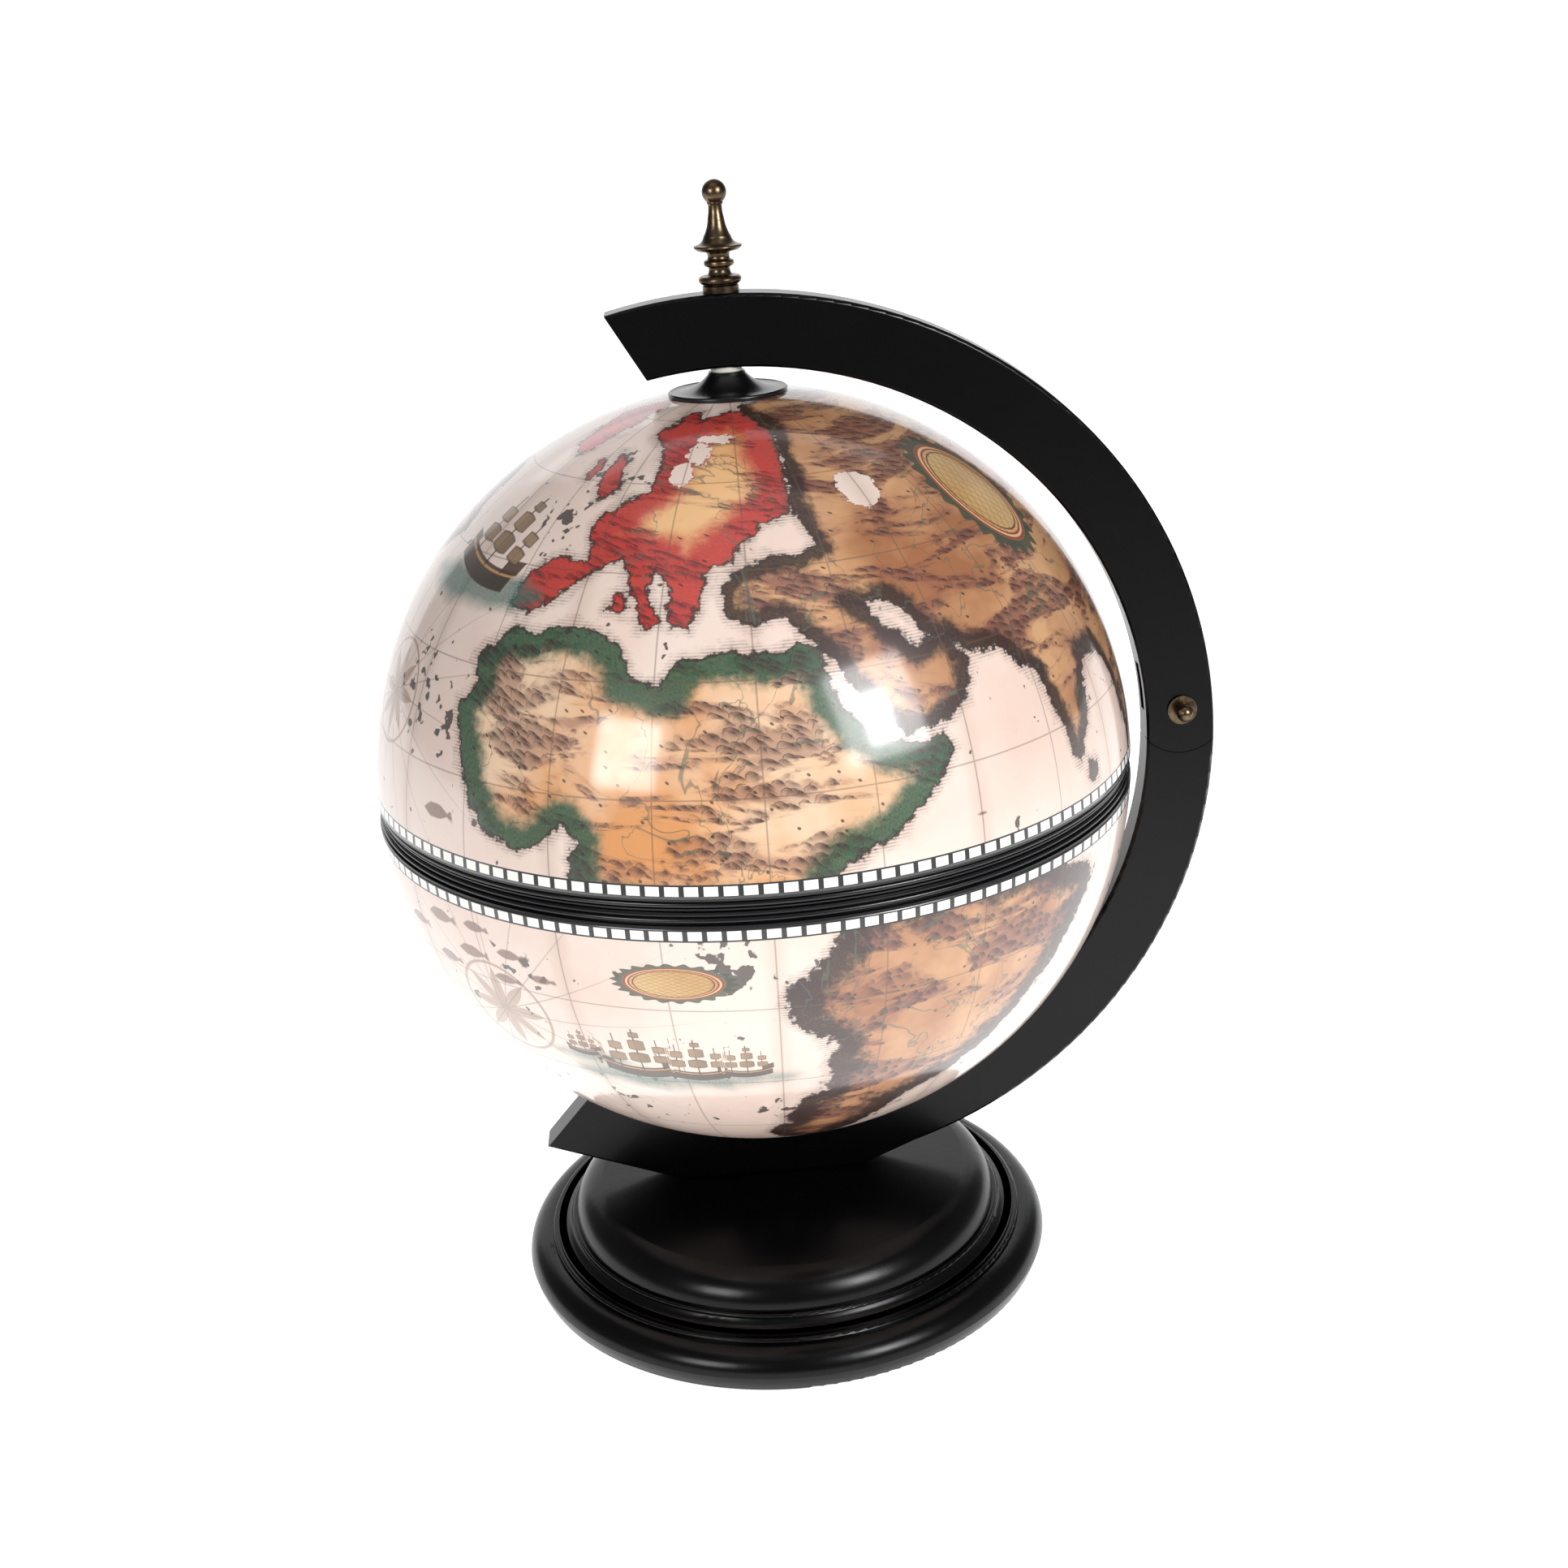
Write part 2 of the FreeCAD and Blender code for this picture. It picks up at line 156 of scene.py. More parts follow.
sweep = bmesh.new()
bmesh.ops.create_grid(sweep, x_segments=1, y_segments=1, size=studio["sheet"])
farEdge = [edge for edge in sweep.edges if min(v.co.y for v in edge.verts) > 0]
for lift in studio["sweepLifts"]:
    made = bmesh.ops.extrude_edge_only(sweep, edges=farEdge)["geom"]
    corners = [item for item in made if isinstance(item, bmesh.types.BMVert)]
    farEdge = [item for item in made if isinstance(item, bmesh.types.BMEdge)]
    for corner in corners:
        corner.co.z += lift
        corner.co.y += studio["sweepRun"] / (1 + lift)
for face in sweep.faces:
    face.smooth = True
floorData = bpy.data.meshes.new("studioFloor")
sweep.to_mesh(floorData)
sweep.free()
floor = bpy.data.objects.new("studioFloor", floorData)
bpy.context.scene.collection.objects.link(floor)
# matt white background paper over a light table that covers the back and a patch round the object: the glow is painted
# light, and the paper's colour is painted grey where the glow dims, painted shade
material, tree = newMaterial("whiteBackgroundPaper")
place = addNode(tree, "TexCoord", out="Object")
reach = vectorNode(tree, "LENGTH", place, out="Value")
lit = spanNode(tree, reach, studio["litTo"], studio["darkFrom"], 1.0, studio["farGlow"],
               interpolation_type="SMOOTHSTEP")
depthwise = addNode(tree, "SeparateXYZ", {0: place}, out=1)
behind = spanNode(tree, depthwise, studio["behindFrom"], studio["behindTo"])
share = mathNode(tree, "MAXIMUM", lit, behind)
glow = mathNode(tree, "MULTIPLY", share, studio["paperGlow"])
# painted shade: the paper's colour turns from white to grey where the painted glow dims
albedo = mixNode(tree, share, studio["paintedShadePaper"], studio["paper"])
finishMaterial(tree, {
    "Base Color": albedo, "Roughness": 0.9, "Emission Color": (1, 1, 1, 1), "Emission Strength": glow})
floorData.materials.append(material)
world = bpy.data.worlds.new("studioWorld")
world.use_nodes = True
bpy.context.scene.world = world
background = world.node_tree.nodes["Background"]
background.inputs["Color"].default_value = linear(studio["worldColour"])
background.inputs["Strength"].default_value = studio["worldStrength"]
aim = Vector((0, 0, globeHeight))
for name, (azimuth, elevation, distance, width, height, watts) in studio["lights"].items():
    a, e = math.radians(azimuth), math.radians(elevation)
    light = bpy.data.lights.new(name, "AREA")
    light.shape = "RECTANGLE"
    light.size, light.size_y = width, height
    light.energy = watts
    lamp = bpy.data.objects.new(name, light)
    lamp.location = aim + distance * Vector((math.cos(e) * math.cos(a), math.cos(e) * math.sin(a), math.sin(e)))
    lamp.rotation_euler = (aim - lamp.location).to_track_quat("-Z", "Y").to_euler()
    bpy.context.scene.collection.objects.link(lamp)
print("studio set")


# ---- plain finishes ----
def blackLacquer():
    # black nitrocellulose lacquer sprayed and polished on beech: deep black, sharp reflections, faint orange peel
    material, tree = newMaterial("polishedBlackLacquer")
    place = addNode(tree, "TexCoord", out="Object")
    peel = noiseNode(tree, place, 240.0, 1.0)            # ripples of about 4 mm
    haze = noiseNode(tree, place, 18.0, 4.0)             # wiping marks of 50 mm
    rough = spanNode(tree, haze, 0.0, 1.0, 0.2, 0.29)
    bump = bumpNode(tree, peel, 0.035, 0.0006)
    finishMaterial(tree, {
        "Base Color": linear("#030304"), "Roughness": rough, "IOR": 1.5, "Specular IOR Level": 0.22, "Normal": bump,
    })
    return material


def antiqueBrass():
    # turned brass, chemically darkened and rubbed back: brown in the hollows, yellow on the rounds
    material, tree = newMaterial("antiqueTurnedBrass")
    place = addNode(tree, "TexCoord", out="Object")
    patina = noiseNode(tree, place, 160.0, 6.0, roughness=0.6)
    turned = addNode(tree, "Mapping", {"Vector": place, "Scale": (60.0, 60.0, 1400.0)})
    rings = noiseNode(tree, turned, 1.0, 2.0)            # tool marks under 1 mm
    worn = spanNode(tree, patina, 0.35, 0.68)
    colour = mixNode(tree, worn, "#3F3327", "#85725A")
    rough = spanNode(tree, patina, 0.0, 1.0, 0.36, 0.2)
    bump = bumpNode(tree, rings, 0.12, 0.0002)
    finishMaterial(tree, {
        "Base Color": colour, "Metallic": 1.0, "Roughness": rough, "Normal": bump,
    })
    return material


def moulded(name, hexColour, roughness, grain):
    # injection-moulded plastic: even colour, a very fine spark-eroded grain
    material, tree = newMaterial(name)
    place = addNode(tree, "TexCoord", out="Object")
    spark = noiseNode(tree, place, 1200.0, 2.0)          # grain under 1 mm
    wear = noiseNode(tree, place, 40.0, 3.0)
    rough = spanNode(tree, wear, 0.0, 1.0, roughness - 0.05, roughness + 0.08)
    bump = bumpNode(tree, spark, grain, 0.0002)
    finishMaterial(tree, {
        "Base Color": linear(hexColour), "Roughness": rough, "IOR": 1.49, "Normal": bump,
    })
    return material


def platedSteel():
    # zinc-plated mild steel: grey with a faint yellow-blue cast and turning marks
    material, tree = newMaterial("zincPlatedSteel")
    place = addNode(tree, "TexCoord", out="Object")
    cast = noiseNode(tree, place, 90.0, 3.0)
    colour = mixNode(tree, cast, "#A9A9A6", "#BDBBAE")
    rough = spanNode(tree, cast, 0.0, 1.0, 0.28, 0.42)
    finishMaterial(tree, {
        "Base Color": colour, "Metallic": 1.0, "Roughness": rough,
    })
    return material


def pressedFelt():
    # green wool felt, pressed: dull, with matted fibres about 2 mm long
    material, tree = newMaterial("pressedWoolFelt")
    place = addNode(tree, "TexCoord", out="Object")
    fibres = noiseNode(tree, place, 700.0, 5.0, distortion=1.5)
    colour = mixNode(tree, fibres, "#12261B", "#2B4A36")
    bump = bumpNode(tree, fibres, 0.6, 0.0006)
    finishMaterial(tree, {
        "Base Color": colour, "Roughness": 0.95, "Sheen Weight": 0.4, "Normal": bump,
    })
    return material


def stainedRack():
    # plywood stained walnut brown and waxed: straight grain about 3 mm wide, running along X
    material, tree = newMaterial("walnutStainedPlywood")
    place = addNode(tree, "TexCoord", out="Object")
    along = addNode(tree, "Mapping", {"Vector": place, "Scale": (8.0, 90.0, 90.0)})
    grain = noiseNode(tree, along, 3.0, 8.0, distortion=0.6)
    poreway = addNode(tree, "Mapping", {"Vector": place, "Scale": (60.0, 1400.0, 1400.0)})
    pores = noiseNode(tree, poreway, 1.0, 2.0)
    colour = mixNode(tree, grain, "#2C170C", "#6B3F22")
    bump = bumpNode(tree, pores, 0.25, 0.0003)
    finishMaterial(tree, {
        "Base Color": colour, "Roughness": 0.38, "Coat Weight": 0.25, "Coat Roughness": 0.2, "Normal": bump,
    })
    return material


def fibreShell():
    # pressed wood fibre sealed with a cream size: matt, with short fibres showing
    material, tree = newMaterial("sizedWoodFibre")
    place = addNode(tree, "TexCoord", out="Object")
    fibres = noiseNode(tree, place, 420.0, 6.0, distortion=2.0)
    cloud = noiseNode(tree, place, 14.0, 4.0)
    base = mixNode(tree, cloud, "#C9AE86", "#DCC7A2")
    fleck = spanNode(tree, fibres, 0.56, 0.7, 0.0, 0.5)
    colour = mixNode(tree, fleck, base, "#8A6A43")
    bump = bumpNode(tree, fibres, 0.25, 0.0004)
    finishMaterial(tree, {"Base Color": colour, "Roughness": 0.7, "Normal": bump})
    return material


finishes = {
    "black_lacquered_wood": blackLacquer(),
    "antique_brass": antiqueBrass(),
    "black_plastic": moulded("blackPolystyrene", "#0C0C0E", 0.24, 0.04),
    "steel": platedSteel(),
    "felt": pressedFelt(),
    "dark_rack": stainedRack(),
    "fibre_shell": fibreShell(),
    "nylon": moulded("naturalNylon", "#CFCBBE", 0.45, 0.1),
}
slotOf = {part["node"]: part["material_slot"] for part in frame["record"]["subparts"]}
for name, node in nodes.items():
    finish = finishes.get(slotOf.get(name))
    if finish:
        node.data.materials.clear()
        node.data.materials.append(finish)
print("plain finishes laid on", len(nodes), "nodes")

# ---- the printed map ----
# outlines of land as (degrees round the pole axis from +X, degrees of latitude) on the ball
# and ornaments by place and size: lakes, compass roses, ships, fish, medallions, areas of islets
mapSheets = {
    "upper": {
        "rimSlope": 1.0,             # less than one makes the tinted edge of the land wider
        "redLand": [
            [(-134, 39), (-134, 43), (-131, 46), (-126, 47), (-122, 47), (-124, 52), (-122, 54), (-119, 55),
             (-117, 57), (-114, 59), (-113, 63), (-116, 67), (-112, 72), (-104, 76), (-92, 78), (-82, 77), (-74, 71),
             (-76, 64), (-78, 58), (-80, 53), (-84, 52), (-88, 51), (-92, 49), (-92, 46), (-96, 46), (-98, 41),
             (-100, 37), (-103, 38), (-104, 43), (-107, 46), (-108, 42), (-105, 38), (-108, 37), (-111, 44),
             (-114, 47), (-119, 45), (-122, 43), (-126, 40), (-130, 38)],
            [(-131, 59), (-127, 57), (-124, 59), (-126, 64), (-130, 66), (-131, 62)],
            [(-122, 71), (-114, 66), (-108, 68), (-104, 72), (-108, 78), (-118, 77)],
            [(-136, 60), (-133, 59), (-133, 63), (-136, 64)],
            [(-160, 66), (-150, 64), (-142, 72), (-148, 80), (-165, 82), (-172, 76)],
            [(-114, 40), (-112, 39), (-111, 41), (-113, 42)],
        ],
        "greenLand": [
            [(-131, 36), (-126, 36), (-120, 37), (-114, 36), (-111, 34), (-109, 30), (-104, 29), (-101, 33), (-95, 34),
             (-89, 33), (-83, 34), (-80, 33), (-79, 27), (-76, 22), (-70, 19), (-64, 20), (-63, 17), (-67, 13),
             (-72, 9), (-77, 6.5), (-82, 4), (-85, 0), (-116, 0), (-116.5, 5), (-116, 9), (-118, 11), (-120, 9),
             (-123, 7.5), (-126, 7), (-129, 8), (-132, 10), (-135, 14), (-136, 17), (-137, 20), (-139, 24),
             (-136, 28), (-138, 31), (-134, 34)],
            [(150, 8), (155, 14), (162, 18), (158, 26), (150, 32), (140, 34), (128, 48), (118, 58), (104, 66),
             (88, 68), (80, 62), (92, 56), (108, 50), (116, 38), (124, 26), (136, 18), (146, 8)],
        ],
        "brownLand": [
            [(-92, 45), (-86, 47), (-80, 46), (-76, 48), (-78, 53), (-77, 60), (-74, 70), (-84, 79), (-60, 84),
             (-10, 80), (30, 74), (52, 66), (40, 58), (22, 52), (18, 42), (8, 34), (2, 22), (-4, 12), (-8, 20),
             (-12, 10), (-18, 4), (-20, 14), (-24, 22), (-31, 22), (-34, 16), (-39, 9), (-42, 17), (-45, 24),
             (-49, 28), (-56, 30), (-62, 34), (-68, 39), (-73, 39), (-68, 35), (-64, 31), (-60, 32), (-57, 28),
             (-59, 23), (-64, 21), (-69, 20), (-73, 24), (-77, 30), (-80, 34), (-84, 38), (-89, 37), (-94, 39),
             (-95, 43)],
            [(-86, 40), (-83, 39), (-84, 41), (-87, 42)],
            [(-37, 9), (-34, 8), (-34, 5), (-37, 5)],
            [(24, 30), (30, 36), (33, 42), (28, 40)],
            [(168, 30), (-168, 46), (-176, 58), (164, 60), (152, 54), (140, 58), (126, 62), (132, 50), (146, 40),
             (160, 34)][::-1],
        ],
        "paleSea": [(-60, 56, 3.0, 3.6), (-106, 62, 1.0, 2.2), (-102, 66.5, 1.6, 2.4), (-97, 70, 2.2, 1.2)],
        "roses": [(-160, 22, 7.5), (60, 20, 9.0)],
        "ships": [(-147.5, 46.5, 8.5, -14), (100, 16, 6.0, 0), (152, 50, 4.0, 0)],
        "fish": [(-141, 9, 3.4), (-60, 8, 0.8)],
        "panels": [(-27, 50, 7.0, 10.0)],
        "specks": [(-151, 24, 9.0), (-142, 20, 6.0), (-133, 52, 7.0), (-37, 16, 6.0), (-128, 62, 6.0)],
    },
    "lower": {
        "rimSlope": 0.5,
        "redLand": [
            [(120, -22), (128, -14), (138, -12), (146, -16), (154, -26), (150, -37), (140, -36), (130, -32),
             (121, -34)],
        ],
        "greenLand": [
            [(10, -2), (22, -1), (42, -1), (47, -10), (43, -22), (36, -30), (26, -35), (20, -34), (15, -20)],
            [(52, -14), (56, -16), (54, -25), (50, -24)],
        ],
        "brownLand": [
            [(-80, 0), (-82, -6), (-86, -10), (-89, -13), (-88, -18), (-84, -22), (-82, -28), (-85, -35), (-90, -42),
             (-93, -50), (-88, -58), (-78, -60), (-72, -50), (-68, -42), (-58, -36), (-50, -28), (-44, -22), (-40, -14),
             (-35, -8), (-44, -3), (-52, 0)],
            [(60, -2), (66, -5), (76, -8), (84, -8), (80, -4), (70, 0)],
        ],
        "paleSea": [],
        "roses": [(-134, -20, 8.0), (90, -32, 8.0)],
        "ships": [(-112, -25.5, 5.8, 0), (-103, -26, 5.0, 0), (-95.5, -26, 3.9, 0), (-121, -24, 3.0, 0),
                  (0, -26, 6.0, 0), (112, -12, 5.0, 0)],
        "fish": [(-143, -7, 3.4), (-135, -6.5, 2.6), (-137, -11, 3.2), (-129, -9.5, 2.6), (-144, -14, 3.0),
                 (-131, -14, 2.6), (-151, -10, 3.0), (-124, -12.5, 2.2)],
        "panels": [(-104, -10.5, 7.0, 2.6)],
        "specks": [(-96, -6, 8.0), (-118, -37, 5.0), (-112, -42, 4.0), (-92, -38, 5.0), (-126, -12, 6.0)],
    },
}
# one fish, swimming west, in its own half lengths
fishParts = [[(-1.0, 0.0), (-0.5, 0.32), (0.2, 0.34), (0.7, 0.08), (1.1, 0.35), (1.0, 0.0), (1.1, -0.3),
              (0.7, -0.06), (0.2, -0.26), (-0.5, -0.28)]]
globeSheet = {
    "radius": 0.165,
    "thick": 0.0005,
    "rim": 0.0060,                   # the paper ends this far from the split
    "poleHole": 0.0160,
    "around": 540,                   # faces round the ball and from pole to pole
    "along": 360,
    "water": (0.72, 1.8, 0.34),      # under a ship: drop, half width and half height, in its own size
}
farAway = 30.0                       # degrees, further than any drawing reaches from its outline


# points on the unit ball for places in degrees
def onBall(places):
    a = np.radians(np.asarray(places, float))
    return np.stack([np.cos(a[:, 1]) * np.cos(a[:, 0]), np.cos(a[:, 1]) * np.sin(a[:, 0]), np.sin(a[:, 1])], 1)


# degrees inside (positive) or outside (negative) a set of outlines
def landDepth(points, azimuth, latitude, outlines):
    best = np.full(len(points), -farAway)
    for outline in outlines:
        ring = np.asarray(outline, float)
        ring[:, 0] = np.degrees(np.unwrap(np.radians(ring[:, 0])))
        nextRing = np.roll(ring, -1, 0)
        distance = np.full(len(points), farAway)
        inside = np.zeros(len(points), bool)
        start, end = onBall(ring).astype(np.float32), onBall(nextRing).astype(np.float32)
        for k in range(len(ring)):
            along = end[k] - start[k]
            t = np.clip((points - start[k]) @ along / max(along @ along, 1e-12), 0, 1)
            gap = np.linalg.norm(points - start[k] - t[:, None] * along, axis=1)
            distance = np.minimum(distance, np.degrees(gap))
            (x0, y0), (x1, y1) = ring[k], nextRing[k]
            if y0 == y1:
                continue
            middle = ring[:, 0].mean()
            wrapped = (azimuth - middle + 180) % 360 - 180 + middle
            crosses = (y0 > latitude) != (y1 > latitude)
            inside ^= crosses & (wrapped < x0 + (latitude - y0) / (y1 - y0) * (x1 - x0))
        best = np.maximum(best, np.where(inside, distance, -distance))
    return best


# outlines drawn round a place, in degrees
def placed(shapes, azimuth, latitude, size):
    stretch = math.cos(math.radians(latitude))
    return [[(azimuth + size * u / stretch, latitude + size * v) for u, v in shape] for shape in shapes]


def oval(azimuth, latitude, wide, tall):
    steps = [2 * math.pi * k / 28 for k in range(28)]
    stretch = math.cos(math.radians(latitude))
    return [(azimuth + wide * math.cos(step) / stretch, latitude + tall * math.sin(step)) for step in steps]


# offsets east and north of the nearest ornament, in its own half widths and heights
def localPlaces(points, places):
    bestEast = np.full(len(points), 9.0)
    bestNorth = np.full(len(points), 9.0)
    for a, b, width, height, tilt in places:
        centre = onBall([(a, b)])[0]
        east = np.array([-math.sin(math.radians(a)), math.cos(math.radians(a)), 0])
        north = np.cross(centre, east)
        c, t = math.cos(math.radians(tilt)), math.sin(math.radians(tilt))
        east, north = c * east + t * north, c * north - t * east
        gap = np.degrees(np.arccos(np.clip(points @ centre, -1, 1)))
        u, v = points @ east, points @ north
        scale = gap / np.maximum(np.hypot(u, v), 1e-9)
        u, v = u * scale / width, v * scale / height
        closer = np.hypot(u, v) < np.hypot(bestEast, bestNorth)
        bestEast = np.where(closer, u, bestEast)
        bestNorth = np.where(closer, v, bestNorth)
    return bestEast, bestNorth


# keeps one number for each point of the mesh
def store(mesh, name, values):
    layer = mesh.attributes.new(name, "FLOAT", "POINT")
    layer.data.foreach_set("value", np.asarray(values, np.float32))


# one printed half: a fine quad sheet that carries the drawing as distances
def paperSheet(half, sheet):
    side = 1 if half == "upper" else -1
    shape = bmesh.new()
    bmesh.ops.create_uvsphere(shape, u_segments=globeSheet["around"], v_segments=globeSheet["along"],
                              radius=globeSheet["radius"])
    everything = shape.verts[:] + shape.edges[:] + shape.faces[:]
    bmesh.ops.bisect_plane(shape, geom=everything, plane_co=(0, 0, side * globeSheet["rim"]),
                           plane_no=(0, 0, side), clear_inner=True)
    everything = shape.verts[:] + shape.edges[:] + shape.faces[:]
    poleCut = math.sqrt(globeSheet["radius"] ** 2 - globeSheet["poleHole"] ** 2)
    bmesh.ops.bisect_plane(shape, geom=everything, plane_co=(0, 0, side * poleCut),
                           plane_no=(0, 0, side), clear_outer=True)
    cutEdges = [edge for edge in shape.edges if edge.is_boundary]
    folded = bmesh.ops.extrude_edge_only(shape, edges=cutEdges)["geom"]
    for item in folded:
        if isinstance(item, bmesh.types.BMVert):
            item.co *= 1 - globeSheet["thick"] / globeSheet["radius"]
    bmesh.ops.recalc_face_normals(shape, faces=shape.faces[:])
    for face in shape.faces:
        face.smooth = True
    mesh = bpy.data.meshes.new(half + "Paper")
    shape.to_mesh(mesh)
    shape.free()
    points = np.empty(len(mesh.vertices) * 3, np.float32)
    mesh.vertices.foreach_get("co", points)
    points = points.reshape(-1, 3).astype(float)
    points = (points / np.linalg.norm(points, axis=1)[:, None]).astype(np.float32)
    azimuth = np.degrees(np.arctan2(points[:, 1], points[:, 0]))
    latitude = np.degrees(np.arcsin(points[:, 2]))
    for group in ("redLand", "greenLand", "brownLand"):
        depth = landDepth(points, azimuth, latitude, sheet[group])
        store(mesh, group, np.where(depth > 0, depth * sheet["rimSlope"], depth))
    lakes = [oval(a, b, w, t) for a, b, w, t in sheet["paleSea"]]
    store(mesh, "lake", landDepth(points, azimuth, latitude, lakes))
    fish = []
    for a, b, size in sheet["fish"]:
        fish += placed(fishParts, a, b, size)
    store(mesh, "fishDrawing", landDepth(points, azimuth, latitude, fish))
    drop, wide, tall = globeSheet["water"]
    water = [oval(a, b - drop * size, wide * size, tall * size) for a, b, size, tilt in sheet["ships"]]
    store(mesh, "tealWater", landDepth(points, azimuth, latitude, water))
    specks = [oval(a, b, r, r) for a, b, r in sheet["specks"]]
    store(mesh, "speckArea", landDepth(points, azimuth, latitude, specks))
    for name, places in (("rose", [(a, b, r, r, 0) for a, b, r in sheet["roses"]]),
                         ("ship", [(a, b, r, r, tilt) for a, b, r, tilt in sheet["ships"]]),
                         ("panel", [(a, b, w, t, 0) for a, b, w, t in sheet["panels"]])):
        east, north = localPlaces(points, places)
        store(mesh, name + "East", east)
        store(mesh, name + "North", north)
    mesh.transform(Matrix.Translation((0, 0, globeHeight)))
    piece = bpy.data.objects.new(half + "MapPaper", mesh)
    bpy.context.scene.collection.objects.link(piece)
    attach(piece, half + "_globe_half")
    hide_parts(half + "_map")
    return piece


# ---- printing on the map ----
inks = {
    "sea": "#E4D0C4", "seaStain": "#D8B8A8", "seaShade": "#B09484", "line": "#57463C", "rose": "#8B6A50",
    "islet": "#2E2824", "hill": "#35191A", "hillWash": "#7E4C40", "river": "#4B5A4C", "coast": "#2A1C18",
    "teal": "#2F655C", "fish": "#6A3F30", "cloth": "#3A291D", "leaf": "#7A5A3A", "leafDark": "#2B4234",
    "field": "#B98F52", "fieldPale": "#D2AF78", "lattice": "#6E4A2C", "square": "#F4F1EA", "band": "#0B0B0C",
}
landInks = {
    # layer: (edge, inside, pale patches, strength of hills, width of the tinted edge in degrees, strength of wash)
    "greenLand": ("#0E4A32", "#D08F55", "#E2C2A2", 1.0, 5.0, 0.6),
    "redLand": ("#B42A2C", "#C98248", "#E3B27C", 0.9, 6.5, 0.45),
    "brownLand": ("#24110D", "#9A6440", "#CB9C70", 1.0, 3.0, 0.9),
}
hillTiles = ((3.0, 1.9, (0.0, 0.0, 0.0)), (2.1, 1.4, (0.8, 0.5, 0.0)))   # width, height and shift in degrees
shipBlocks = [
    # (centre east, centre north, half width, half height, ink, strength, bent with the sheer)
    (0.0, -0.47, 0.92, 0.20, "#3A281C", 0.95, True),        # hull
    (0.0, -0.36, 0.95, 0.025, "#C2925A", 0.9, True),        # gilt strake
    (0.78, -0.2, 0.2, 0.14, "#4A3322", 0.95, True),         # stern castle
    (-0.8, -0.24, 0.14, 0.08, "#4A3322", 0.95, True),       # bow
    (-0.5, 0.3, 0.018, 0.62, "#2A1C14", 0.95, False),       # three masts
    (0.05, 0.38, 0.022, 0.75, "#2A1C14", 0.95, False),
    (0.58, 0.26, 0.016, 0.55, "#2A1C14", 0.95, False),
    (-0.5, 0.1, 0.26, 0.17, "#8C7050", 0.95, False),        # sails
    (-0.48, 0.5, 0.2, 0.15, "#96795A", 0.95, False),
    (0.06, 0.12, 0.32, 0.2, "#85694A", 0.95, False),
    (0.08, 0.58, 0.25, 0.19, "#927555", 0.95, False),
    (0.08, 0.93, 0.15, 0.1, "#8C7050", 0.9, False),
    (0.6, 0.1, 0.22, 0.15, "#8C7050", 0.95, False),
    (0.6, 0.45, 0.17, 0.13, "#96795A", 0.95, False),
]
sailWidth = 0.1                      # an unbent block with a wider half than this is a sail
medallionBands = ((0.86, 0.985, "#8E3426"), (0.90, 0.93, "#D9B98A"), (0.78, 0.80, "#6A2A20"))
border = {
    "bandTop": 0.0116,               # heights from the split, metres
    "squareMiddle": 0.009,
    "squareHalf": 0.00188,
    "soften": 0.00005,
    "squares": 140,                  # round the ball
    "squareShare": (0.355, 0.37),    # half of each repeat's width that is white, and where it has gone
}


# distance from zero
def sizeOf(tree, value):
    return mathNode(tree, "ABSOLUTE", value)


def multiply(tree, first, second):
    return mathNode(tree, "MULTIPLY", first, second)


# reach and bearing in an ornament's own measure
def polar(tree, name):
    east, north = layerNode(tree, name + "East"), layerNode(tree, name + "North")
    squareSum = mathNode(tree, "MULTIPLY_ADD", north, north, multiply(tree, east, east))
    return east, north, mathNode(tree, "SQRT", squareSum), mathNode(tree, "ARCTAN2", north, east)


# what several layers share: places on the ball in degrees, wander of the coasts, pen strokes
def mapFields(tree):
    place = addNode(tree, "TexCoord", out="Object")
    fromCentre = vectorNode(tree, "ADD", place, (0, 0, -globeHeight))
    x, y, z = (addNode(tree, "SeparateXYZ", {0: fromCentre}, out=k) for k in range(3))
    azimuth = mathNode(tree, "DEGREES", mathNode(tree, "ARCTAN2", y, x))
    sine = mathNode(tree, "DIVIDE", z, globeSheet["radius"])
    latitude = mathNode(tree, "DEGREES", mathNode(tree, "ARCSINE", sine))
    cosine = mathNode(tree, "COSINE", mathNode(tree, "RADIANS", latitude))
    flat = addNode(tree, "CombineXYZ", {0: multiply(tree, azimuth, cosine), 1: latitude})

    # bays of about 15 mm and creeks of about 3 mm
    bayShift = spanNode(tree, noiseNode(tree, fromCentre, 62.0, 3.0), 0.0, 1.0, -1.9, 1.9)
    creekShift = spanNode(tree, noiseNode(tree, fromCentre, 290.0, 3.0, roughness=0.65), 0.0, 1.0, -1.3, 1.3)
    goreEdge = mathNode(tree, "PINGPONG", azimuth, 15.0)

    # graticule every 15 degrees, about 0.6 mm wide
    parallel = mathNode(tree, "PINGPONG", latitude, 7.5)
    meridian = multiply(tree, mathNode(tree, "PINGPONG", azimuth, 7.5), cosine)
    nearest = mathNode(tree, "MINIMUM", parallel, meridian)
    strokes = noiseNode(tree, vectorNode(tree, "MULTIPLY", flat, (9.0, 2.2, 1.0)), 1.0, 2.0)
    return {
        "fromCentre": fromCentre, "height": sizeOf(tree, z), "azimuth": azimuth, "latitude": latitude,
        "flat": flat, "bayShift": bayShift, "creekShift": creekShift,
        "wander": mathNode(tree, "ADD", bayShift, creekShift),
        "goreWidth": multiply(tree, goreEdge, cosine),
        "graticule": spanNode(tree, nearest, 0.05, 0.16, 0.5, 0.0),
        "strokes": strokes, "strokeMask": spanNode(tree, strokes, 0.36, 0.6, 0.7),
        "patchTone": spanNode(tree, noiseNode(tree, fromCentre, 15.0, 4.0, roughness=0.6), 0.38, 0.62),
    }


